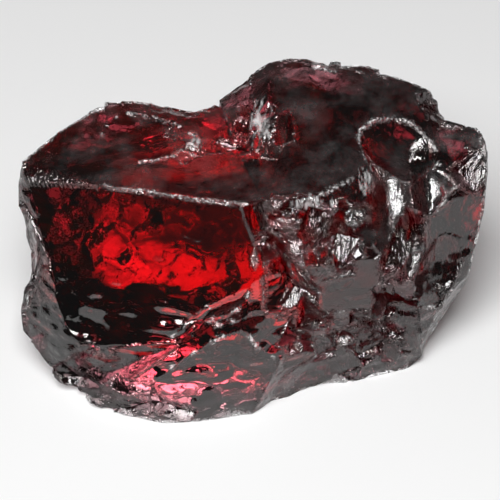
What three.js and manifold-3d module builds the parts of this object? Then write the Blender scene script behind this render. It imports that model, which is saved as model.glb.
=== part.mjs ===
// A rough painite crystal: one broken lump of a deep red, glassy borate mineral, 36 mm long.
//
// It is built the way such a lump comes about. Blunt blocks with flat sides are joined, and flakes are
// struck off each block and off the whole. Each flake leaves a scar. A shell scar is a shallow hollow, often
// with ribs that spread from the point where it was struck. A step scar has one long flat that slopes down
// to a short steep wall. Scars meet in sharp edges, and the edges have lost chips of their own.
//
// Millimetres, +Z up, +X to the lump's right and -Y to its front. The origin is the middle of the
// footprint, on the flat parting face that the lump rests on.

import * as THREE from "three";
import { ConvexGeometry } from "three/addons/geometries/ConvexGeometry.js";
import { mergeVertices } from "three/addons/utils/BufferGeometryUtils.js";
import Module from "manifold-3d";

const wasm = await Module();
wasm.setup();

// ---------------------------------------------------------------- driving dimensions

const LENGTH = 36; // the finished lump, from its left nose to its right end
const FACET = 1.7; // a triangle's side on a large shell scar
const FINE_FACET = 0.95; // the same on a small one
const SMALL_SCAR = 4.5; // scars narrower than this are small
const SEED = 4;

// One scar: a place near its middle, the way it looks, its [length along the grain, width across], the way
// its grain runs, and how deep it goes. `ribs` is the spacing and the height of a shell's ribs.
const shell = (at, facing, size, grain, depth, ribs) => ({ at, facing, size, grain, depth, ribs });
const step = (at, facing, size, grain, depth) => ({ at, facing, size, grain, depth, isStep: true });

// The blocks: the corners of each as it was whole, [x, y, z], and the scars on it in the order in which they
// were struck.
const LEFT_BLOCK = {
  corners: [
    // the long front ridge, from the nose at the left end
    [-17.0, -0.3, 15.5],
    [-11.5, -2.0, 16.6],
    [-6.0, -3.7, 17.0],
    [-1.1, -4.7, 17.0],
    [1.4, -4.8, 17.0],
    // the top's rear edge
    [-17.4, 1.2, 16.3],
    [-14.8, 4.1, 16.8],
    [-10.9, 7.2, 17.6],
    [-8.2, 7.8, 16.7],
    [-5.4, 8.3, 16.0],
    [2.0, 8.0, 15.8],
    // the left side
    [-17.7, 0.5, 14.6],
    [-17.0, -1.0, 12.6],
    [-17.8, -4.0, 5.4],
    [-17.6, -4.4, 4.0],
    [-16.2, -5.6, 2.6],
    [-14.6, -7.6, 0.9],
    [-12.4, -8.8, 0.3],
    // the front's belly and foot
    [-13.9, -7.0, 6.3],
    [-10.8, -9.2, 3.7],
    [-7.7, -10.1, 3.6],
    [-0.8, -9.7, 7.4],
    [2.8, -8.9, 6.0],
    [-10.0, -9.6, 0.7],
    [-6.6, -10.7, -0.4],
    [-4.0, -10.5, -0.4],
    [0.2, -9.6, -0.2],
    [2.4, -7.4, -0.2],
    // the back
    [-15.6, 3.5, 3.0],
    [-16.3, 4.5, 9.5],
    [-11.5, 9.4, 9.5],
    [-11.0, 7.6, 0.5],
    [-2.0, 11.4, 8.0],
    [3.0, 10.6, 8.0],
    [3.5, 9.4, -0.5],
  ],
  scars: [
    // the large front face, and the broken flat at its foot
    shell([-7, -7, 11], [-0.2, -0.87, 0.44], [19, 11], [1, 0, 0.1], 0.25, [4.2, 0.03]),
    shell([-2.6, -9.9, 3.8], [0.02, -0.975, 0.2], [12, 8], [1, 0, 0.1], 0.3),
    // the left part of the top
    shell([-12.2, 1.2, 16.8], [-0.05, 0.1, 1], [9, 3.4], [1, -0.2, 0], 0.4),
    shell([-9.6, 4.8, 17.1], [0.15, -0.4, 0.9], [7, 4.6], [1, 0.2, 0], 0.5),
    shell([-3.4, -0.6, 17], [0, -0.1, 1], [11, 5.8], [1, -0.1, 0], 0.35, [3.4, 0.05]),
    step([-4.2, 2, 16.6], [0, -0.25, 1], [3.4, 1.6], [-0.8, -0.6, 0], 0.35),
    shell([-5.4, 6.8, 16], [0.1, 0.1, 1], [5, 2.4], [1, 0, 0], 0.25),
    // the hackles low on the front face
    shell([-2.7, -8.4, 9.4], [-0.2, -0.88, 0.42], [4.6, 0.9], [0.86, 0.1, 0.5], 0.14),
    shell([-1.3, -8.6, 9.2], [-0.2, -0.88, 0.42], [3.6, 0.7], [0.9, 0.1, 0.42], 0.12),
    shell([-0.6, -8.2, 10.6], [-0.2, -0.88, 0.42], [3.8, 0.8], [0.84, 0.1, 0.54], 0.13),
    shell([-4.4, -8.8, 8.2], [-0.2, -0.88, 0.42], [3, 0.7], [0.8, 0.1, 0.6], 0.1),
    // the ledges at the lower left, and the left side
    step([-8.6, -9.3, 5.6], [-0.2, -0.95, 0.1], [5.4, 1.8], [-0.8, 0.1, -0.55], 0.4),
    step([-10.8, -8.8, 4], [-0.3, -0.93, 0], [6, 1.8], [-0.8, 0.2, -0.55], 0.45),
    step([-12.6, -7.9, 3.4], [-0.5, -0.85, 0], [5, 1.8], [-0.6, 0.2, -0.7], 0.4),
    step([-9.4, -10, 1.9], [-0.25, -0.95, 0.15], [4.6, 2.2], [-0.9, 0.2, -0.3], 0.55),
    step([-11.6, -8.8, 1.7], [-0.5, -0.85, 0.2], [4, 2], [-0.8, 0.4, -0.2], 0.5),
    shell([-17.2, -1.6, 9.6], [-1, -0.25, 0.05], [8.6, 6], [0, 0.1, 1], 1.5),
  ],
};

const HUMP_BLOCK = {
  corners: [
    // the edge that runs on from the front ridge and climbs around the shoulder
    [0.5, -5.2, 16.6],
    [3.9, -4.6, 17.1],
    [5.8, -3.6, 17.2],
    [7.8, -2.2, 17.3],
    [9.0, -0.2, 17.5],
    [10.3, 3.8, 18.2],
    // the hump's crown and its rear edge
    [1.6, 8.0, 19.1],
    [6.6, 6.5, 19.8],
    [10.5, 6.4, 18.9],
    [-2.4, 8.6, 16.8],
    [-0.6, 9.2, 17.9],
    [1.5, 9.8, 19.3],
    [3.9, 10.2, 19.7],
    [6.6, 10.0, 19.8],
    [10.5, 9.5, 18.7],
    [14.6, 7.9, 17.7],
    [15.2, 7.2, 16.4],
    // the shoulder on the right
    [12.7, 4.8, 17.6],
    [15.1, 3.8, 15.8],
    // the shelf under the ridge, and the broken front below it
    [6.0, -6.4, 13.0],
    [11.0, -5.8, 12.4],
    [12.6, -5.5, 8.0],
    [3.5, -7.6, 9.0],
    [8.5, -6.8, 8.0],
    // the foot and the back
    [1.0, -8.3, -0.3],
    [1.0, -9.0, 5.0],
    [6.2, -4.7, -0.3],
    [12.1, -4.4, -0.3],
    [13.5, -3.8, 0.8],
    [15.0, 5.0, 2.0],
    [15.2, 8.2, 9.5],
    [12.0, 10.9, 9.0],
    [4.5, 12.2, 8.0],
    [10.5, 8.4, -0.5],
    [1.0, 10.2, -0.5],
  ],
  scars: [
    step([-0.8, 4, 17.4], [-0.6, -0.3, 0.75], [4.6, 1.5], [-0.2, -1, 0], 0.4),
    step([0.6, 3.6, 18], [-0.5, -0.35, 0.8], [5.4, 1.7], [-0.35, -1, 0], 0.4),
    step([2.2, 3, 18.4], [-0.35, -0.35, 0.85], [5, 1.8], [-0.5, -0.9, 0], 0.35),
    shell([5.4, 1.6, 18.6], [0.02, -0.2, 0.98], [13, 8.5], [0.5, 1, 0], 0.4, [4, 0.06]),
    shell([6, 8.6, 19.6], [0.1, 0.35, 0.95], [12, 2.6], [1, -0.05, 0], 0.2),
    // the valley between the ridge and the rib
    shell([10.4, -2, 15.4], [0.55, -0.6, 0.58], [8, 4], [0, 0.7, 0.7], 0.9, [1.7, 0.08]),
    step([9, -4, 14.6], [0.35, -0.75, 0.55], [4, 2], [1, 0.4, 0], 0.7),
  ],
};

const RIGHT_BLOCK = {
  corners: [
    [12.9, 4.6, 16.6],
    [15.4, 6.6, 16.6],
    [18.5, 4.6, 16.3],
    [14.8, 2.6, 15.6],
    [17.4, 1.6, 15.2],
    [18.3, 1.6, 14.3],
    [18.1, 0.3, 12.1],
    [17.2, -1.1, 8.3],
    [16.8, -1.8, 5.9],
    [15.7, -2.1, 4.0],
    [13.5, -3.6, 0.6],
    [11.0, -4.6, 0.0],
    [11.0, -5.8, 8.6],
    [12.4, -3.0, 13.4],
    [17.6, 6.2, 12.0],
    [16.4, 5.0, 4.0],
    [13.0, 8.2, 12.0],
    [13.0, 6.4, 0.0],
  ],
  scars: [
    shell([16.4, 0.4, 12.4], [0.36, -0.92, 0.15], [6, 5], [0.2, 0, 1], 0.3),
    shell([16.3, -2.4, 5.4], [0.74, -0.6, -0.3], [11, 4], [0.3, 0.2, 1], 0.4),
  ],
};

// The rib that runs down the front from the shoulder: the valley's far wall, and fluted lower down.
const RIB = {
  corners: [
    [10.1, 1.6, 17.8],
    [11.8, -0.6, 16.1],
    [13.0, 1.8, 16.2],
    [12.2, -2.0, 15.0],
    [13.2, -1.2, 14.4],
    [10.8, -4.4, 12.6],
    [10.9, -5.6, 10.5],
    [11.9, -4.9, 12.1],
    [12.2, -5.8, 9.9],
    [13.4, -3.6, 11.6],
    [13.7, -4.0, 9.6],
    [11.4, -6.1, 8.0],
    [12.8, -5.4, 7.6],
    [12.5, -1.0, 10.0],
  ],
  scars: [],
};

// The scars on the joined lump.
const SCARS = [
  // the shoulder and the right end
  shell([12.4, 3.6, 16.7], [0.12, -0.72, 0.68], [6.4, 4.8], [1, 0, -0.2], 0.9, [1.6, 0.1]),
  step([16.1, 2.9, 15.3], [0.15, -0.75, 0.65], [3.6, 2.4], [1, 0, -0.5], 0.5),
  step([15.6, 6.6, 16.8], [0.45, 0.1, 0.85], [4.2, 2.6], [1, 0.4, 0], 0.7),
  shell([15.2, -1.9, 9.3], [0.25, -0.93, 0.25], [5.4, 3.4], [0.4, 0, 1], 0.6, [1.2, 0.06]),
  shell([11.4, -6, 8.2], [0.1, -0.97, 0.2], [2.4, 1.5], [0.1, 0, 1], 0.45),
  // the shelf under the ridge
  step([3.6, -5.9, 15.4], [0, -0.75, 0.65], [4.4, 1.8], [1, 0, -0.05], 0.8),
  step([6.8, -5.4, 14.8], [0.1, -0.7, 0.7], [4.6, 2], [1, 0.1, 0], 1),
  step([5, -6.4, 13.6], [0, -0.85, 0.5], [5.4, 1.6], [1, 0, -0.1], 0.7),
  // the broken front
  shell([8.9, -6.5, 9.6], [0.03, -0.99, 0.06], [6.4, 5.2], [1, 0, 0.3], 0.3),
  step([2.6, -8, 12], [0.3, -0.85, 0.45], [5, 2], [0.3, 0.1, -1], 0.9),
  step([3.4, -8, 9.4], [0.35, -0.9, 0.2], [6, 2.6], [0.2, 0, -1], 1),
  step([5.4, -7.4, 6.2], [0.2, -0.95, 0.2], [5, 2.4], [-0.9, 0, 0.4], 0.8),
  step([8.8, -6.4, 5.2], [0.1, -0.98, 0.15], [5.4, 2.2], [-1, 0, 0.2], 0.7),
  step([12, -5.4, 4.4], [0.35, -0.9, 0.1], [5.4, 2.6], [0.2, 0, 1], 0.7),
  shell([5.4, -7.2, 1.4], [0.4, -0.9, -0.1], [7, 5], [1, 0.4, 0.4], 0.9),
  step([-5.6, -10.8, 1], [0.1, -0.75, 0.65], [2.8, 1.4], [1, 0, -0.3], 0.35),
];

// The scars behind, and on the two ends.
const FAR_SCARS = [
  shell([-8, 10, 9], [-0.25, 0.95, 0.1], [11, 7.5], [1, 0, 0.3], 1, [2.8, 0.08]),
  shell([3, 11.5, 11], [0.05, 0.95, 0.35], [10, 6.5], [0.8, 0, 0.6], 0.9, [3, 0.08]),
  shell([9.8, 10.5, 9], [0.4, 0.9, 0.05], [9, 6], [0, 0.2, 1], 1),
  shell([8, 10.4, 15.5], [0.1, 0.85, 0.5], [8, 4.4], [1, 0, -0.3], 0.7, [2.4, 0.06]),
  step([0, 10.6, 4.5], [0, 0.98, -0.2], [11, 3.6], [1, 0, 0.1], 0.9),
  step([-12.5, 7.5, 5.5], [-0.6, 0.8, -0.1], [8, 4.4], [0.3, 0.2, 1], 0.9),
  step([6.5, 10.8, 5], [0.2, 0.95, -0.15], [7, 3], [1, 0, -0.4], 0.8),
  step([-3.5, 10.2, 12.6], [0, 0.85, 0.5], [8, 3], [1, 0, 0.2], 0.7),
  shell([-16.5, 2.4, 9], [-0.98, 0.2, 0], [8, 4.6], [0, 0, 1], 0.6, [2.2, 0.05]),
  step([-16, 1.5, 4], [-0.9, 0.1, -0.4], [6, 3], [0, 1, 0.2], 0.6),
  shell([17, 4.5, 11.5], [0.95, 0.25, 0.1], [7, 4.4], [0, 0.3, 1], 0.6, [2.2, 0.05]),
  step([16, 3.5, 6.5], [0.97, 0.1, -0.2], [7, 3.6], [0, 1, 0.2], 0.8),
  step([14.5, 7.5, 9.5], [0.75, 0.65, 0.05], [6, 3.4], [0.1, 0, 1], 0.8),
];

// Flutes side by side on the upright rib, like bark: the middle of the first, and the way to the next.
const FLUTES = {
  count: 4,
  first: [11.1, -4.6, 12.2],
  next: [0.62, 0.3, -0.1],
  facing: [0.1, -0.8, 0.57],
  size: [5, 0.9],
  grain: [0.07, 0.58, 0.81],
  depth: 0.25,
};

// Showers of small step flakes, which come off the sharp outer edges. Each falls around a direction from the
// lump's heart, within `spread` degrees. `bite` is a flake's depth over its width.
const HEART = [0, 0, 8.5];
const SHOWERS = [
  // the back and the left end
  { around: [0, 1, -0.2], spread: 60, count: 18, width: [1.6, 3.4], bite: [0.1, 0.2] },
  { around: [-1, 0.3, 0], spread: 45, count: 10, width: [1.4, 3], bite: [0.1, 0.18] },
  // the lower left
  { around: [-0.8, -0.5, -0.3], spread: 24, count: 26, width: [1, 2.2], bite: [0.12, 0.2] },
  // the broken front and the shelf above it
  { around: [0.7, -0.78, 0.05], spread: 36, count: 44, width: [1, 2.4], bite: [0.15, 0.3] },
  { around: [0.42, -0.6, 0.6], spread: 20, count: 20, width: [0.8, 1.8], bite: [0.15, 0.3] },
  // the top
  { around: [0, 0.6, 0.8], spread: 32, count: 16, width: [1.2, 2.6], bite: [0.08, 0.14] },
  // every side
  { around: [0, 0, 1], spread: 180, count: 100, width: [0.8, 2.2], bite: [0.1, 0.22] },
];
const SHARP_EDGE_DEG = 26;
const FLAKE_LENGTH = [1, 1.9]; // a small flake's length over its width
const FLAKE_TILT = 0.35; // how far its facing strays from its edge's
const FLAKE_TURN = 0.6; // how far its grain strays from its edge
const HIGHEST_FOOT = 0.5; // the flat parting face and its rim are left as they broke

// A step flake's wedge, over its width: its height, how far each side leans out, how much longer it is at
// the top, and how far its corners stray.
const WEDGE = { height: 0.8, wallLean: 0.28, backLean: 0.4, flare: 1.3, unevenness: 0.12 };
const SHELL_WAVES = [2.6, 3.4]; // how tight a shell's slow waves are, along and across
const SHELL_WAVE_HEIGHT = 0.1; // over the scar's depth
const CLEAR_OF_LUMP = 6; // how far out of the lump its surface is looked for

// Faces and edges that broke clean, which no shower marks: [middle, reach].
const CLEAN_PLACES = [
  [[-2.4, -10, 3.6], 4.2],
  [[9, -6.4, 9.4], 2.4],
  [[-6.5, -7, 11], 6.5],
  [[16.4, 0.2, 12.4], 2],
  [[12.4, 3.4, 16.4], 2.4],
  [[-14.4, -1, 16], 2.8],
  [[-10.8, -2, 16.6], 3.2],
  [[-6.4, -3.4, 17], 3.2],
  [[-2, -4.4, 17], 3.2],
];

// ---------------------------------------------------------------- chance

// A repeatable run of numbers from 0 to 1 (the mulberry32 generator).
function randomRun(seed) {
  let state = seed;
  return () => {
    state = (state + 0x6d2b79f5) | 0;
    let mixed = Math.imul(state ^ (state >>> 15), 1 | state);
    mixed = (mixed + Math.imul(mixed ^ (mixed >>> 7), 61 | mixed)) ^ mixed;
    return ((mixed ^ (mixed >>> 14)) >>> 0) / 4294967296;
  };
}

const random = randomRun(SEED);
const between = ([low, high]) => low + (high - low) * random();

function randomDirection() {
  const height = 2 * random() - 1;
  const turn = 2 * Math.PI * random();
  const reach = Math.sqrt(1 - height * height);
  return new THREE.Vector3(reach * Math.cos(turn), reach * Math.sin(turn), height);
}

// ---------------------------------------------------------------- solids

const vector = (xyz) => new THREE.Vector3(...xyz);
const unit = (xyz) => vector(xyz).normalize();

// A geometry with its places only, and one vertex where several met.
function bare(geometry) {
  geometry.deleteAttribute("normal");
  geometry.deleteAttribute("uv");
  return mergeVertices(geometry, 1e-5);
}

// A closed three.js geometry as a solid.
function solidOf(geometry) {
  const merged = bare(geometry);
  return new wasm.Manifold(
    new wasm.Mesh({
      numProp: 3,
      vertProperties: new Float32Array(merged.attributes.position.array),
      triVerts: new Uint32Array(merged.index.array),
    }),
  );
}

function geometryOf(solid) {
  const { vertProperties, triVerts } = solid.getMesh();
  const geometry = new THREE.BufferGeometry();
  geometry.setAttribute("position", new THREE.BufferAttribute(vertProperties, 3));
  geometry.setIndex(new THREE.BufferAttribute(triVerts, 1));
  geometry.computeVertexNormals();
  return geometry;
}

// The first place of a solid's surface on the way in from `start`.
function surfaceFrom(solid, start, inwards) {
  const surface = new THREE.Mesh(geometryOf(solid), new THREE.MeshBasicMaterial());
  return new THREE.Raycaster(start, inwards).intersectObject(surface)[0].point;
}

// ---------------------------------------------------------------- striking flakes

// The piece of space that a shell flake takes away: a ball that bites `depth` deep and `size` wide. It is a
// little wavy, and its ribs spread from one end of the scar.
function shellOf({ size: [along, across], depth, ribs: [spacing, height] = [1, 0] }) {
  const radius = ((across * across) / 4 + depth * depth) / (2 * depth);
  const side = Math.min(across < SMALL_SCAR ? FINE_FACET : FACET, across / 3);
  const ball = bare(new THREE.IcosahedronGeometry(radius, Math.round((1.05 * radius) / side)));
  const struckAt = new THREE.Vector3(-across / 2, 0, -radius);
  const phase = randomDirection().multiplyScalar(9);
  const places = ball.attributes.position;
  const point = new THREE.Vector3();
  for (let i = 0; i < places.count; i++) {
    point.fromBufferAttribute(places, i);
    const wavesAlong = Math.sin((SHELL_WAVES[0] * point.x) / across + phase.x);
    const wavesAcross = Math.sin((SHELL_WAVES[1] * point.y) / across + phase.y);
    const ribbed = Math.cos((2 * Math.PI * point.distanceTo(struckAt)) / spacing);
    point.setLength(radius + SHELL_WAVE_HEIGHT * depth * (wavesAlong + wavesAcross) + height * ribbed);
    places.setXYZ(i, point.x, point.y, point.z);
  }
  ball.scale(along / across, 1, 1);
  ball.translate(0, 0, radius - depth);
  return ball;
}

// The piece of space that a step flake takes away: a wedge with uneven corners. Its sole slopes down across
// the grain to a steep wall.
function stepOf({ size: [along, across], depth }) {
  const top = WEDGE.height * across;
  const profile = [
    { y: -0.5 * across, z: 0, length: along },
    { y: 0.5 * across, z: -depth, length: along },
    { y: (0.5 + WEDGE.wallLean) * across, z: top, length: WEDGE.flare * along },
    { y: (-0.5 - WEDGE.backLean) * across, z: top, length: WEDGE.flare * along },
  ];
  const corners = profile.flatMap(({ y, z, length }) =>
    [-length / 2, length / 2].map((x) =>
      new THREE.Vector3(x, y, z).addScaledVector(randomDirection(), WEDGE.unevenness * across),
    ),
  );
  return new ConvexGeometry(corners);
}

// Strikes one flake off a lump: at its exact place, or where the surface lies behind `at`.
function strike(lump, scar) {
  const z = unit(scar.facing);
  const y = z.clone().cross(vector(scar.grain)).normalize();
  const x = y.clone().cross(z);
  const outside = scar.at && vector(scar.at).addScaledVector(z, CLEAR_OF_LUMP);
  const place = scar.place ?? surfaceFrom(lump, outside, z.clone().negate());
  const taken = scar.isStep ? stepOf(scar) : shellOf(scar);
  taken.applyMatrix4(new THREE.Matrix4().makeBasis(x, y, z).setPosition(place));
  return lump.subtract(solidOf(taken));
}

const struck = (lump, scars) => scars.reduce(strike, lump);
const blockOf = ({ corners, scars }) => struck(solidOf(new ConvexGeometry(corners.map(vector))), scars);

function flutes() {
  const { count, first, next, ...form } = FLUTES;
  return Array.from({ length: count }, (_, i) => ({
    at: vector(first).addScaledVector(vector(next), i).toArray(),
    ...form,
  }));
}

// The sharp outer edges of a solid: their two ends, and the way each looks outwards.
function outerEdges(solid) {
  const geometry = geometryOf(solid);
  const corners = geometry.index.array;
  const faces = new Map();
  const edges = [];
  for (let i = 0; i < corners.length; i += 3) {
    const places = [0, 1, 2].map((k) =>
      new THREE.Vector3().fromBufferAttribute(geometry.attributes.position, corners[i + k]),
    );
    const triangle = new THREE.Triangle(...places);
    const normal = triangle.getNormal(new THREE.Vector3());
    const middle = triangle.getMidpoint(new THREE.Vector3());
    for (const [from, to] of [[0, 1], [1, 2], [2, 0]]) {
      const other = faces.get(`${corners[i + to]} ${corners[i + from]}`);
      faces.set(`${corners[i + from]} ${corners[i + to]}`, { normal, middle });
      if (!other || normal.angleTo(other.normal) < THREE.MathUtils.degToRad(SHARP_EDGE_DEG)) continue;
      const isOuter = other.normal.dot(middle.clone().sub(other.middle)) < 0;
      if (!isOuter) continue;
      const [start, end] = [places[from], places[to]];
      edges.push({
        start,
        end,
        length: start.distanceTo(end),
        middle: start.clone().add(end).divideScalar(2).sub(vector(HEART)),
        outwards: normal.clone().add(other.normal).normalize(),
      });
    }
  }
  return edges;
}

// One of the edges by chance, the longer ones more often.
function anyEdge(edges) {
  let left = random() * edges.reduce((sum, { length }) => sum + length, 0);
  for (const edge of edges) {
    left -= edge.length;
    if (left < 0) return edge;
  }
  return edges.at(-1);
}

function isClean(place) {
  return CLEAN_PLACES.some(([middle, reach]) => place.distanceTo(vector(middle)) < reach);
}

// The flakes of one shower.
function shower(lump, { around, spread, count, width: widths, bite }) {
  const isUnder = ({ middle }) => middle.angleTo(vector(around)) < THREE.MathUtils.degToRad(spread);
  const edges = outerEdges(lump).filter(isUnder);
  const flakes = [];
  for (let i = 0; i < count; i++) {
    const edge = anyEdge(edges);
    const alongEdge = edge.end.clone().sub(edge.start).normalize();
    const place = edge.start.clone().lerp(edge.end, random());
    const width = between(widths);
    const flake = {
      place,
      facing: edge.outwards.clone().addScaledVector(randomDirection(), FLAKE_TILT).toArray(),
      size: [width * between(FLAKE_LENGTH), width],
      grain: alongEdge.addScaledVector(randomDirection(), FLAKE_TURN).toArray(),
      depth: width * between(bite),
      isStep: true,
    };
    if (place.z > HIGHEST_FOOT && !isClean(place)) flakes.push(flake);
  }
  return flakes;
}

function buildCrystal() {
  const blocks = [LEFT_BLOCK, HUMP_BLOCK, RIGHT_BLOCK, RIB].map(blockOf);
  const whole = blocks.reduce((joined, block) => joined.add(block));
  let lump = struck(whole, [...SCARS, ...FAR_SCARS, ...flutes()]);
  for (const fall of SHOWERS) lump = struck(lump, shower(lump, fall));
  const underneath = new THREE.BoxGeometry(2 * LENGTH, 2 * LENGTH, LENGTH).translate(0, 0, -LENGTH / 2);
  return lump.subtract(solidOf(underneath));
}

// ---------------------------------------------------------------- the part

// The largest body of a geometry. Crumbs that the strikes left loose fall away.
function largestBody(geometry) {
  const corners = geometry.index.array;
  const leaders = Array.from({ length: geometry.attributes.position.count }, (_, i) => i);
  const leaderOf = (corner) => {
    let leader = corner;
    while (leaders[leader] !== leader) leader = leaders[leader];
    leaders[corner] = leader;
    return leader;
  };
  for (let i = 0; i < corners.length; i += 3) {
    leaders[leaderOf(corners[i + 1])] = leaderOf(corners[i]);
    leaders[leaderOf(corners[i + 2])] = leaderOf(corners[i]);
  }
  const bodies = Map.groupBy(corners, leaderOf);
  const largest = [...bodies.values()].reduce((a, b) => (a.length > b.length ? a : b));
  geometry.setIndex(largest);
  return bare(geometry.toNonIndexed());
}

// Makes a geometry exactly `length` long, and puts the middle of its footprint at the origin.
function settled(geometry, length) {
  geometry.computeBoundingBox();
  const { min, max } = geometry.boundingBox;
  const scale = length / (max.x - min.x);
  geometry.translate(-(min.x + max.x) / 2, -(min.y + max.y) / 2, -min.z);
  return geometry.scale(scale, scale, scale);
}

const mineral = new THREE.MeshStandardMaterial({ color: 0x7a0612, roughness: 0.12, metalness: 0 });

const part = new THREE.Group();
const crystal = new THREE.Mesh(settled(largestBody(geometryOf(buildCrystal())), LENGTH), mineral);
crystal.geometry.computeVertexNormals();
crystal.name = "crystal";
part.add(crystal);

export default part;
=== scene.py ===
"""The looks of a rough painite crystal: a broken lump of deep red, glassy borate mineral."""

import math
import random

import bmesh
import bpy
from bpy.props import FloatProperty, IntProperty, PointerProperty, StringProperty
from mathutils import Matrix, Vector, noise
from mathutils.kdtree import KDTree


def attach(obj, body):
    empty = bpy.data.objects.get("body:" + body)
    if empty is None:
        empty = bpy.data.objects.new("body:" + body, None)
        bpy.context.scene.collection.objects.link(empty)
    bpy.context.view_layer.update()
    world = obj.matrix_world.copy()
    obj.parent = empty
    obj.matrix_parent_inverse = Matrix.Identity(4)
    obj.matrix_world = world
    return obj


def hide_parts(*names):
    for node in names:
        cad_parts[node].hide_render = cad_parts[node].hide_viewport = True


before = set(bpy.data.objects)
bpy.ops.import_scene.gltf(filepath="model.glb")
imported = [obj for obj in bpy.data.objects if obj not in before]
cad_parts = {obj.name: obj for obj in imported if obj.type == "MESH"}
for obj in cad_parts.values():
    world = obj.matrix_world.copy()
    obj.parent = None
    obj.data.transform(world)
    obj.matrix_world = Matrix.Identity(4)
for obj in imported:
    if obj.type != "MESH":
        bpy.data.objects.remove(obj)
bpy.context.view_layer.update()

bl_info = {
    "name": "Painite Crystal",
    "version": (1, 0, 0),
    "blender": (4, 5, 0),
    "location": "3D View > Sidebar > Painite",
    "description": "Finishes a rough painite lump and sets it on a lit floor",
    "category": "Add Mesh",
}

MM = 0.001
SEED = 5

# a vertex lower than this belongs to the face that the stone rests on
RESTING = 0.01 * MM
# closer vertices are one and the same
MERGED = 0.0001 * MM
# a scar with less area than this is a small one, which splintered
BROAD_SCAR = 25 * MM * MM
# a scar with fewer vertices has no room for ripples
RIPPLED_SCAR = 30
# the least and the most that the ripples of a scar are apart, in millimetres
RIPPLE_SPACING = (0.9, 1.6)
# a ridge that bends more than this is chipped
CHIPPED_RIDGE = math.radians(40)
# a ridge between broad scars that bends more than this is rubbed, and how far the rubbing reaches
RUBBED_RIDGE = math.radians(28)
RUBBED_REACH = 0.65 * MM
# where blows left the top bruised: middle and half-sizes, in millimetres
BRUISES = (
    ((0.4, 3.0, 17.8), (1.9, 5.0, 2.0)),
    ((-4.5, 2.0, 17.1), (1.3, 1.7, 1.5)),
    ((4.3, -4.6, 16.2), (3.4, 1.2, 1.6)),
    ((8.4, -2.5, 16.6), (1.3, 2.6, 1.5)),
)
# the unit that the heights of the finest relief are given in
RELIEF = 0.008 * MM
# between painite's two refractive indices, 1.787 and 1.816
PAINITE_IOR = 1.80

# the lamps: where each stands, what it faces and its size, in millimetres
SOFTBOX = ((-40, -190, 300), (0, 0, 10), (200, 200))
LAMP_UNDER_BACK = ((-4.0, 9.4, -1.5), (-4.0, 9.4, 0), (10.0, 3.5))
LAMP_UNDER_FRONT = ((-6.0, -3.5, -1.5), (-6.0, -3.5, 0), (9.0, 5.0))
# the floor lies a hair below the stone, so that the two don't touch
FLOOR_SIZE = 2000 * MM
FLOOR_GAP = 0.02 * MM
# what the camera looks at, from how far, and its lens and sensor, in millimetres
LOOKED_AT = (-0.29, -1.28, 8.865)
CAMERA_DISTANCE = 267.9
CAMERA_LENS = 250
CAMERA_SENSOR = 36.02

# what a math node does
ADD = {"operation": "ADD"}
SUBTRACT_CLAMPED = {"operation": "SUBTRACT", "use_clamp": True}
MULTIPLY = {"operation": "MULTIPLY"}
MULTIPLY_ADD = {"operation": "MULTIPLY_ADD"}
MULTIPLY_ADD_CLAMPED = {"operation": "MULTIPLY_ADD", "use_clamp": True}
MAXIMUM = {"operation": "MAXIMUM"}


# ---------------------------------------------------------------- settings


class PainiteCrystalSettings(bpy.types.PropertyGroup):
    """Sizes and colours of the stone."""

    ridge_angle: FloatProperty(
        name="Ridge Angle",
        description="An edge that bends more than this is a ridge or a crease",
        default=math.radians(24),
        subtype="ANGLE",
    )
    facet_angle: FloatProperty(
        name="Facet Angle",
        description="A finished edge that bends more than this is shaded as a sharp one",
        default=math.radians(14),
        subtype="ANGLE",
    )
    grain: FloatProperty(
        name="Grain",
        description="Longest edge of the finished surface",
        default=0.4 * MM,
        subtype="DISTANCE",
        unit="LENGTH",
    )
    relaxing: IntProperty(
        name="Relaxing",
        description="How many times the broken faces are smoothed between their ridges",
        default=8,
    )
    wobble: FloatProperty(
        name="Wobble",
        description="How far the broken faces stray from even curves",
        default=0.08 * MM,
        subtype="DISTANCE",
        unit="LENGTH",
    )
    hackle: FloatProperty(
        name="Hackle",
        description="How rough the broken back and left end are",
        default=0.22 * MM,
        subtype="DISTANCE",
        unit="LENGTH",
    )
    feather: FloatProperty(
        name="Feather",
        description="How rough the feathery hackles low on the front are",
        default=0.2 * MM,
        subtype="DISTANCE",
        unit="LENGTH",
    )
    hollows: FloatProperty(
        name="Hollows",
        description="How deep the hollows of the underside are",
        default=0.9 * MM,
        subtype="DISTANCE",
        unit="LENGTH",
    )
    ripple: FloatProperty(
        name="Ripple",
        description="Height of the ripples that spread over a shell-shaped scar",
        default=0.012 * MM,
        subtype="DISTANCE",
        unit="LENGTH",
    )
    chipping: FloatProperty(
        name="Chipping",
        description="How deep the sharp ridges are chipped",
        default=0.14 * MM,
        subtype="DISTANCE",
        unit="LENGTH",
    )
    body_colour: StringProperty(
        name="Body Colour",
        description="What the stone lets through, as a hex value",
        default="#eba6b4",
    )
    absorption: FloatProperty(
        name="Absorption",
        description="How fast the stone swallows light, per metre",
        default=800.0,
    )


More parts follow.
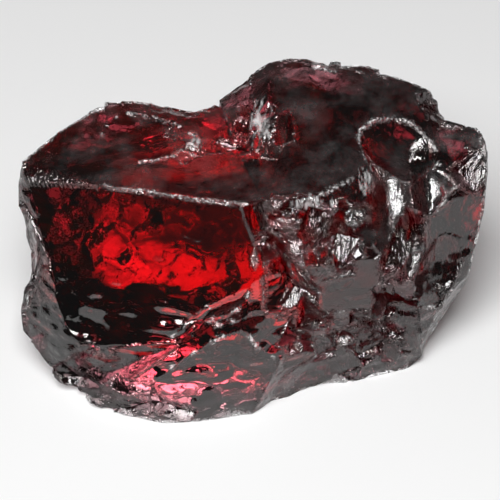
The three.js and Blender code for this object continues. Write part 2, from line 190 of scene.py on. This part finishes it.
class PainiteStageSettings(bpy.types.PropertyGroup):
    """The floor, the lamps and the camera."""

    floor_colour: StringProperty(
        name="Floor Colour",
        description="Colour of the floor, as a hex value",
        default="#f4f4f4",
    )
    opal: FloatProperty(
        name="Opal",
        description="Share of the floor's light that comes through it from underneath",
        default=0.2,
        subtype="FACTOR",
    )
    surround: FloatProperty(
        name="Surround",
        description="Strength of the dim light from all around",
        default=0.06,
    )
    softbox_power: FloatProperty(
        name="Softbox Power",
        description="Power of the softbox high in front",
        default=1.9,
        unit="POWER",
    )
    back_lamp_power: FloatProperty(
        name="Back Lamp Power",
        description="Power of the small lamp under the floor behind the stone",
        default=0.0098,
        precision=4,
        unit="POWER",
    )
    front_lamp_power: FloatProperty(
        name="Front Lamp Power",
        description="Power of the small lamp under the front of the stone",
        default=0.009,
        precision=4,
        unit="POWER",
    )
    elevation: FloatProperty(
        name="Camera Elevation",
        description="Height of the camera above the horizon",
        default=math.radians(40),
        subtype="ANGLE",
    )


# ---------------------------------------------------------------- small tools


def linear(hex_colour):
    """An sRGB hex colour as linear red, green, blue and alpha."""
    values = [int(hex_colour[i : i + 2], 16) / 255 for i in (1, 3, 5)]
    return [v / 12.92 if v <= 0.04045 else ((v + 0.055) / 1.055) ** 2.4 for v in values] + [1.0]


def add_node(tree, kind, settings=None, **inputs):
    """Adds a node. An input given as a socket is linked, any other value is set.

    Inputs are named with underscores for spaces, or as _0, _1 and so on by their place.
    """
    node = tree.nodes.new(kind)
    for name, value in (settings or {}).items():
        setattr(node, name, value)
    for name, value in inputs.items():
        socket = node.inputs[int(name[1:])] if name[0] == "_" else node.inputs[name.replace("_", " ")]
        if isinstance(value, bpy.types.NodeSocket):
            tree.links.new(value, socket)
        else:
            socket.default_value = value
    return node


def clamp(value):
    return min(1.0, max(0.0, value))


def waver(place, length, shift=(0, 0, 0)):
    """Smooth noise around 0 that wavers over a length in millimetres."""
    return noise.noise(place / (length * MM) + Vector(shift))


# ---------------------------------------------------------------- the stone's shape


def is_movable(vert):
    """Whether the vertex is off the face that the stone rests on."""
    return vert.co.z > RESTING


def is_within_scar(vert):
    """Whether no ridge or crease runs through the vertex."""
    return all(edge.smooth for edge in vert.link_edges)


def divide(bm, longest, passes=8):
    """Halves edges longer than the given length, a few times over, leaving triangles only."""
    for _ in range(passes):
        long_edges = [edge for edge in bm.edges if edge.calc_length() > longest]
        bmesh.ops.subdivide_edges(bm, edges=long_edges, cuts=1)
        uncut = [face for face in bm.faces if len(face.verts) > 3]
        bmesh.ops.triangulate(bm, faces=uncut, quad_method="SHORT_EDGE")


def relax(bm, passes):
    """Smooths the broken faces and leaves the ridges and the resting face where they are."""
    free = [vert for vert in bm.verts if is_within_scar(vert) and is_movable(vert)]
    for _ in range(passes):
        bmesh.ops.smooth_vert(bm, verts=free, factor=0.5, use_axis_x=True, use_axis_y=True, use_axis_z=True)


def scars_of(bm):
    """The broken faces, as groups of mesh faces that no ridge parts, in the order of the mesh."""
    seen = set()
    scars = []
    for start in bm.faces:
        if start in seen:
            continue
        seen.add(start)
        scar, front = [], [start]
        while front:
            face = front.pop()
            scar.append(face)
            for edge in face.edges:
                for other in edge.link_faces if edge.smooth else ():
                    if other not in seen:
                        seen.add(other)
                        front.append(other)
        scars.append(scar)
    return scars


def bruise_at(place, middle, sizes):
    """How bruised a place is: 1 in the middle of a bruise and 0 at its edge."""
    away = place / MM - middle
    return max(0.0, 1.0 - Vector(a / size for a, size in zip(away, sizes)).length)


def weather(bm):
    """Writes how each place broke and weathered into attributes.

    What looks up is weathered, what looks back, left or down is hackly, small scars are splintery, and
    the places that were struck are bruised.
    """
    weathered = bm.verts.layers.float.new("weathered")
    hackly = bm.verts.layers.float.new("hackly")
    splintery = bm.verts.layers.float.new("splintery")
    bruised = bm.verts.layers.float.new("bruised")
    for scar in scars_of(bm):
        if sum(face.calc_area() for face in scar) < BROAD_SCAR:
            for vert in {vert for face in scar for vert in face.verts}:
                vert[splintery] = 1.0
    bm.normal_update()
    for vert in bm.verts:
        to_right, to_back, to_sky = vert.normal
        vert[weathered] = clamp(2.5 * to_sky - 1.3)
        vert[bruised] = max(bruise_at(vert.co, Vector(middle), sizes) for middle, sizes in BRUISES)
        vert[hackly] = clamp(max(2.5 * to_back, -2.0 * to_right - 0.5, -2.0 * to_sky - 0.8))


def ripple(bm, height):
    """Raises ripples on each scar, around the place on its rim where the blow fell."""
    shifts = {}
    for scar in scars_of(bm):
        verts = {vert for face in scar for vert in face.verts}
        rim = [vert for vert in verts if not is_within_scar(vert)]
        if len(verts) < RIPPLED_SCAR or not rim:
            continue
        struck_at = random.choice(sorted(rim, key=lambda vert: vert.index)).co.copy()
        spacing = random.uniform(*RIPPLE_SPACING) * MM
        for vert in verts.difference(rim):
            away = (vert.co - struck_at).length
            bent = 1.4 * waver(vert.co, 3.0)
            strength = max(0.0, 0.4 + waver(vert.co, 2.2))
            shifts[vert] = height * strength * math.sin(math.tau * (away / spacing + bent))
    for vert, shift in shifts.items():
        if is_movable(vert):
            vert.co += vert.normal * shift


def wobble(bm, height, hackle, feather):
    """Lets the broken faces stray from even curves, roughens the back and feathers the low front."""
    hackly = bm.verts.layers.float["hackly"]
    bm.normal_update()
    for vert in bm.verts:
        if is_movable(vert) and is_within_scar(vert):
            uneven = waver(vert.co, 2.6) + 0.35 * waver(vert.co, 1.1, (7, 3, 5))
            jagged = waver(vert.co, 0.9, (1, 9, 4)) + waver(vert.co, 1.9)
            # feathers are longer than they are high, and end a good 10 mm above the floor
            feathery = noise.noise(Vector((vert.co.x / 2.2, vert.co.y / 2.2, vert.co.z / 0.8)) / MM)
            low = clamp(7.0 - vert.co.z / (1.5 * MM))
            to_front = clamp(-3.0 * vert.normal.y - 1.5)
            shift = height * uneven + hackle * vert[hackly] * jagged
            vert.co += vert.normal * (shift + feather * low * to_front * feathery)


def ridges_of(bm, sharpness):
    """The outer edges that bend more than an angle."""
    return [edge for edge in bm.edges if not edge.smooth and edge.calc_face_angle_signed(0.0) > sharpness]


def ridge_tree(ridges):
    """The middles of the given edges, for looking up the nearest."""
    tree = KDTree(len(ridges))
    for i, edge in enumerate(ridges):
        tree.insert((edge.verts[0].co + edge.verts[1].co) / 2, i)
    tree.balance()
    return tree


def wear_ridges(bm, depth):
    """Chips the sharp ridges, and writes how worn and how rubbed each place is into attributes."""
    worn = bm.verts.layers.float.new("worn")
    rubbed = bm.verts.layers.float.new("rubbed")
    splintery = bm.verts.layers.float["splintery"]
    rubbed_ridges = [
        edge for edge in ridges_of(bm, RUBBED_RIDGE) if not any(vert[splintery] for vert in edge.verts)
    ]
    chipped_tree = ridge_tree(ridges_of(bm, CHIPPED_RIDGE))
    rubbed_tree = ridge_tree(rubbed_ridges)
    bm.normal_update()
    for vert in bm.verts:
        # a ridge is crushed over about 0.3 mm, now wider and now narrower
        reach = (0.3 + 0.3 * waver(vert.co, 1.7)) * MM
        vert[worn] = max(0.0, 1.0 - chipped_tree.find(vert.co)[2] / reach)
        vert[rubbed] = max(0.0, 1.0 - rubbed_tree.find(vert.co)[2] / RUBBED_REACH)
        if vert[worn] > 0.0 and is_movable(vert):
            bite = max(0.0, 0.35 + waver(vert.co, 0.55))
            vert.co -= vert.normal * depth * bite * vert[worn]


def hollow_out(bm, depth):
    """Sinks shallow hollows into the underside, within its rim."""
    for vert in bm.verts:
        if not is_movable(vert) and is_within_scar(vert):
            # the hollows are twice as long as they are wide
            across = Vector((vert.co.x / 1.8, vert.co.y / 0.9, 0)) / MM
            jagged = noise.noise(across) + 0.4 * noise.noise(2 * across)
            vert.co.z += depth * max(0.0, 0.2 + jagged)


def stone_mesh(settings):
    """A finely divided copy of the stone's frame node, with its fine relief, as a bmesh."""
    bm = bmesh.new()
    bm.from_mesh(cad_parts["crystal"].data)
    bmesh.ops.remove_doubles(bm, verts=bm.verts, dist=MERGED)
    # an edge within a scar is smooth, and any other is a ridge or a crease
    for edge in bm.edges:
        edge.smooth = edge.calc_face_angle(math.pi) < settings.ridge_angle
    divide(bm, settings.grain)
    relax(bm, settings.relaxing)
    bm.verts.index_update()
    weather(bm)
    ripple(bm, settings.ripple)
    wobble(bm, settings.wobble, settings.hackle, settings.feather)
    wear_ridges(bm, settings.chipping)
    hollow_out(bm, settings.hollows)
    # nothing reaches lower than the face that the stone rests on
    for vert in bm.verts:
        vert.co.z = max(0.0, vert.co.z)
    return bm


# ---------------------------------------------------------------- the stone's material


def frost_patches(tree, place):
    """Frosted patches of some millimetres on what looks up."""
    weathered = add_node(tree, "ShaderNodeAttribute", {"attribute_name": "weathered"}).outputs["Fac"]
    patches = add_node(
        tree, "ShaderNodeTexNoise", Vector=place, Scale=1 / (2.6 * MM), Detail=7.0, Roughness=0.7
    )
    patchy = add_node(
        tree, "ShaderNodeMapRange", Value=patches.outputs["Fac"], From_Min=0.44, From_Max=0.66
    )
    return add_node(tree, "ShaderNodeMath", MULTIPLY, _0=patchy.outputs[0], _1=weathered).outputs[0]


def splinter_fibres(tree, place):
    """Fibres 0.3 mm wide, which stand upright on the sides and run to the back on the top."""
    upright = add_node(tree, "ShaderNodeVectorMath", MULTIPLY, _0=place, _1=(1.0, 0.4, 0.2)).outputs[0]
    fibres = add_node(tree, "ShaderNodeTexNoise", Vector=upright, Scale=1 / (0.3 * MM), Detail=3.0)
    return fibres.outputs["Fac"]


def fracture_relief(tree, place, worn, frost, fibres):
    """The normal of the finest relief: grain, crushed ridges, hackles and splinters."""
    # the grain of the fracture, coarser where it is frosted
    fine = add_node(tree, "ShaderNodeTexNoise", Vector=place, Scale=1 / (0.3 * MM), Detail=4.0)
    coarseness = add_node(tree, "ShaderNodeMath", MULTIPLY_ADD, _0=frost, _1=3.0, _2=0.6)
    grain = add_node(tree, "ShaderNodeMath", MULTIPLY, _0=fine.outputs["Fac"], _1=coarseness.outputs[0])

    # crushed ridges, broken into facets of 0.05 to 0.2 mm that look every way
    crumbs = add_node(tree, "ShaderNodeTexVoronoi", Vector=place, Scale=1 / (0.17 * MM))
    crushed = add_node(tree, "ShaderNodeMath", MULTIPLY, _0=crumbs.outputs["Distance"], _1=worn)
    with_ridges = add_node(
        tree, "ShaderNodeMath", MULTIPLY_ADD, _0=crushed.outputs[0], _1=20.0, _2=grain.outputs[0]
    )

    # hackles of 0.7 mm on the back, the left end and the underside
    hackly = add_node(tree, "ShaderNodeAttribute", {"attribute_name": "hackly"}).outputs["Fac"]
    jagged = add_node(tree, "ShaderNodeTexNoise", Vector=place, Scale=1 / (0.7 * MM), Detail=3.0)
    hackles = add_node(tree, "ShaderNodeMath", MULTIPLY, _0=jagged.outputs["Fac"], _1=hackly)
    with_hackles = add_node(
        tree, "ShaderNodeMath", MULTIPLY_ADD, _0=hackles.outputs[0], _1=30.0, _2=with_ridges.outputs[0]
    )

    # splinters on the small scars
    splintery = add_node(tree, "ShaderNodeAttribute", {"attribute_name": "splintery"}).outputs["Fac"]
    splinters = add_node(tree, "ShaderNodeMath", MULTIPLY, _0=fibres, _1=splintery)
    relief = add_node(
        tree, "ShaderNodeMath", MULTIPLY_ADD, _0=splinters.outputs[0], _1=16.0, _2=with_hackles.outputs[0]
    )
    bump = add_node(tree, "ShaderNodeBump", Height=relief.outputs[0], Strength=1.0, Distance=RELIEF)
    return bump.outputs["Normal"]


def fracture_roughness(tree, place, worn, frost):
    """Glassy, but matt on the frosted patches, on the ridges and where the stone touches the floor."""
    height = add_node(tree, "ShaderNodeSeparateXYZ", Vector=place).outputs["Z"]
    frosting = add_node(tree, "ShaderNodeMapRange", Value=frost, To_Min=0.02, To_Max=0.32)
    lustre = add_node(
        tree, "ShaderNodeMath", MULTIPLY_ADD_CLAMPED, _0=worn, _1=0.25, _2=frosting.outputs[0]
    )
    parting = add_node(
        tree,
        "ShaderNodeMapRange",
        Value=height,
        From_Min=0.03 * MM,
        From_Max=0.12 * MM,
        To_Min=0.15,
        To_Max=0.0,
    )
    rougher = add_node(tree, "ShaderNodeMath", MAXIMUM, _0=lustre.outputs[0], _1=parting.outputs[0])
    return rougher.outputs[0]


def clear_share(tree, place, frost, fibres):
    """The share of the surface that is clear, and not crushed to white powder."""
    # specks of 0.2 mm along the rubbed ridges, and a thin dust on the frosted patches
    rubbed = add_node(tree, "ShaderNodeAttribute", {"attribute_name": "rubbed"}).outputs["Fac"]
    specks = add_node(
        tree, "ShaderNodeTexNoise", Vector=place, Scale=1 / (0.22 * MM), Detail=4.0, Roughness=0.9
    )
    powder = add_node(
        tree, "ShaderNodeMath", MULTIPLY_ADD, _0=rubbed, _1=0.35, _2=specks.outputs["Fac"]
    )
    white = add_node(
        tree, "ShaderNodeMapRange", Value=powder.outputs[0], From_Min=0.77, From_Max=0.9, To_Max=0.8
    )
    dust = add_node(tree, "ShaderNodeMath", MULTIPLY_ADD, _0=frost, _1=0.025, _2=white.outputs[0])

    # white fibres on the bruises
    bruised = add_node(tree, "ShaderNodeAttribute", {"attribute_name": "bruised"}).outputs["Fac"]
    bruise = add_node(tree, "ShaderNodeMath", MULTIPLY_ADD, _0=bruised, _1=0.6, _2=fibres)
    fibrous = add_node(
        tree, "ShaderNodeMapRange", Value=bruise.outputs[0], From_Min=0.82, From_Max=1.1, To_Max=0.5
    )
    opaque = add_node(tree, "ShaderNodeMath", ADD, _0=dust.outputs[0], _1=fibrous.outputs[0])
    return add_node(tree, "ShaderNodeMath", SUBTRACT_CLAMPED, _0=1.0, _1=opaque.outputs[0]).outputs[0]


def painite(settings):
    """Rough painite: clear and deep red, glassy on its broken faces, with crushed, glinting ridges."""
    material = bpy.data.materials.new("rough painite")
    material.use_nodes = True
    tree = material.node_tree
    tree.nodes.clear()
    place = add_node(tree, "ShaderNodeTexCoord").outputs["Object"]
    worn = add_node(tree, "ShaderNodeAttribute", {"attribute_name": "worn"}).outputs["Fac"]
    frost = frost_patches(tree, place)
    fibres = splinter_fibres(tree, place)
    surface = add_node(
        tree,
        "ShaderNodeBsdfPrincipled",
        Base_Color=linear("#ffffff"),
        Roughness=fracture_roughness(tree, place, worn, frost),
        IOR=PAINITE_IOR,
        Transmission_Weight=clear_share(tree, place, frost, fibres),
        Normal=fracture_relief(tree, place, worn, frost, fibres),
    )
    # light turns deep red within some millimetres, and little of it is left after 20
    body = add_node(
        tree, "ShaderNodeVolumeAbsorption", Color=linear(settings.body_colour), Density=settings.absorption
    )
    add_node(
        tree, "ShaderNodeOutputMaterial", Surface=surface.outputs["BSDF"], Volume=body.outputs["Volume"]
    )
    return material


class PAINITE_OT_crystal(bpy.types.Operator):
    """Build the stone from its frame node"""

    bl_idname = "painite.crystal"
    bl_label = "Build Crystal"

    def execute(self, context):
        settings = context.scene.painite_crystal
        bm = stone_mesh(settings)
        mesh = bpy.data.meshes.new("painite_crystal")
        bm.to_mesh(mesh)
        bm.free()
        mesh.materials.append(painite(settings))
        stone = bpy.data.objects.new("painite_crystal", mesh)
        context.collection.objects.link(stone)
        mesh.shade_smooth()
        mesh.set_sharp_from_angle(angle=settings.facet_angle)
        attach(stone, "root")
        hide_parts("crystal")
        return {"FINISHED"}


# ---------------------------------------------------------------- the stage


def aim(thing, place, target):
    """Puts a lamp or camera at a place and turns it to face a target."""
    thing.location = place
    thing.rotation_euler = (target - place).to_track_quat("-Z", "Y").to_euler()


def add_lamp(name, layout, power):
    """Adds a white, rectangular lamp from its place, target and size in millimetres."""
    place, target, size = layout
    data = bpy.data.lights.new(name, "AREA")
    data.shape = "RECTANGLE"
    data.size, data.size_y = [side * MM for side in size]
    data.energy = power
    lamp = bpy.data.objects.new(name, data)
    bpy.context.collection.objects.link(lamp)
    aim(lamp, Vector(place) * MM, Vector(target) * MM)


def opal_acrylic(colour, opal):
    """Opal acrylic sheet: pale, and lit from above as well as from underneath."""
    material = bpy.data.materials.new("opal acrylic")
    material.use_nodes = True
    tree = material.node_tree
    tree.nodes.clear()
    above = add_node(tree, "ShaderNodeBsdfDiffuse", Color=linear(colour))
    through = add_node(tree, "ShaderNodeBsdfTranslucent", Color=linear(colour))
    sheet = add_node(tree, "ShaderNodeMixShader", _0=opal, _1=above.outputs[0], _2=through.outputs[0])
    add_node(tree, "ShaderNodeOutputMaterial", Surface=sheet.outputs[0])
    return material


def add_floor(settings):
    """Lays the pale floor just under the stone."""
    bpy.ops.mesh.primitive_plane_add(size=FLOOR_SIZE, location=(0, 0, -FLOOR_GAP))
    floor = bpy.context.object
    floor.name = "floor"
    floor.data.materials.append(opal_acrylic(settings.floor_colour, settings.opal))


def add_surround(scene, strength):
    """Dim, even light from all around."""
    world = bpy.data.worlds.new("studio")
    scene.world = world
    world.use_nodes = True
    background = world.node_tree.nodes["Background"]
    background.inputs["Color"].default_value = linear("#ffffff")
    background.inputs["Strength"].default_value = strength


def add_camera(scene, elevation):
    """Adds a camera with a long lens, in front of the stone and above it."""
    camera = bpy.data.objects.new("camera", bpy.data.cameras.new("camera"))
    bpy.context.collection.objects.link(camera)
    target = Vector(LOOKED_AT) * MM
    away = Vector((0, -math.cos(elevation), math.sin(elevation)))
    aim(camera, target + CAMERA_DISTANCE * MM * away, target)
    camera.data.lens = CAMERA_LENS
    camera.data.sensor_width = CAMERA_SENSOR
    camera.data.clip_start = 10 * MM
    camera.data.clip_end = 10000 * MM
    scene.camera = camera


class PAINITE_OT_stage(bpy.types.Operator):
    """Set the stone on a pale floor in soft studio light, in front of the camera"""

    bl_idname = "painite.stage"
    bl_label = "Set Stage"

    def execute(self, context):
        settings = context.scene.painite_stage
        scene = context.scene
        scene.view_settings.view_transform = "Standard"
        # light is thrown back many times inside a stone of such high refraction
        scene.cycles.max_bounces = 24
        scene.cycles.glossy_bounces = 20
        scene.cycles.transmission_bounces = 24
        add_floor(settings)
        add_surround(scene, settings.surround)
        add_lamp("front softbox", SOFTBOX, settings.softbox_power)
        add_lamp("lamp under the back", LAMP_UNDER_BACK, settings.back_lamp_power)
        add_lamp("lamp under the front", LAMP_UNDER_FRONT, settings.front_lamp_power)
        add_camera(scene, settings.elevation)
        return {"FINISHED"}


# ---------------------------------------------------------------- the panel


class PAINITE_PT_panel(bpy.types.Panel):
    """The stone's operators"""

    bl_label = "Painite"
    bl_idname = "PAINITE_PT_panel"
    bl_space_type = "VIEW_3D"
    bl_region_type = "UI"
    bl_category = "Painite"

    def draw(self, context):
        self.layout.operator("painite.crystal")
        self.layout.operator("painite.stage")


CLASSES = (
    PainiteCrystalSettings,
    PainiteStageSettings,
    PAINITE_OT_crystal,
    PAINITE_OT_stage,
    PAINITE_PT_panel,
)


def register():
    for cls in CLASSES:
        bpy.utils.register_class(cls)
    bpy.types.Scene.painite_crystal = PointerProperty(type=PainiteCrystalSettings)
    bpy.types.Scene.painite_stage = PointerProperty(type=PainiteStageSettings)


def unregister():
    del bpy.types.Scene.painite_stage
    del bpy.types.Scene.painite_crystal
    for cls in reversed(CLASSES):
        bpy.utils.unregister_class(cls)


def main():
    random.seed(SEED)
    register()
    bpy.ops.painite.crystal()
    bpy.ops.painite.stage()


if __name__ == "__main__":
    main()
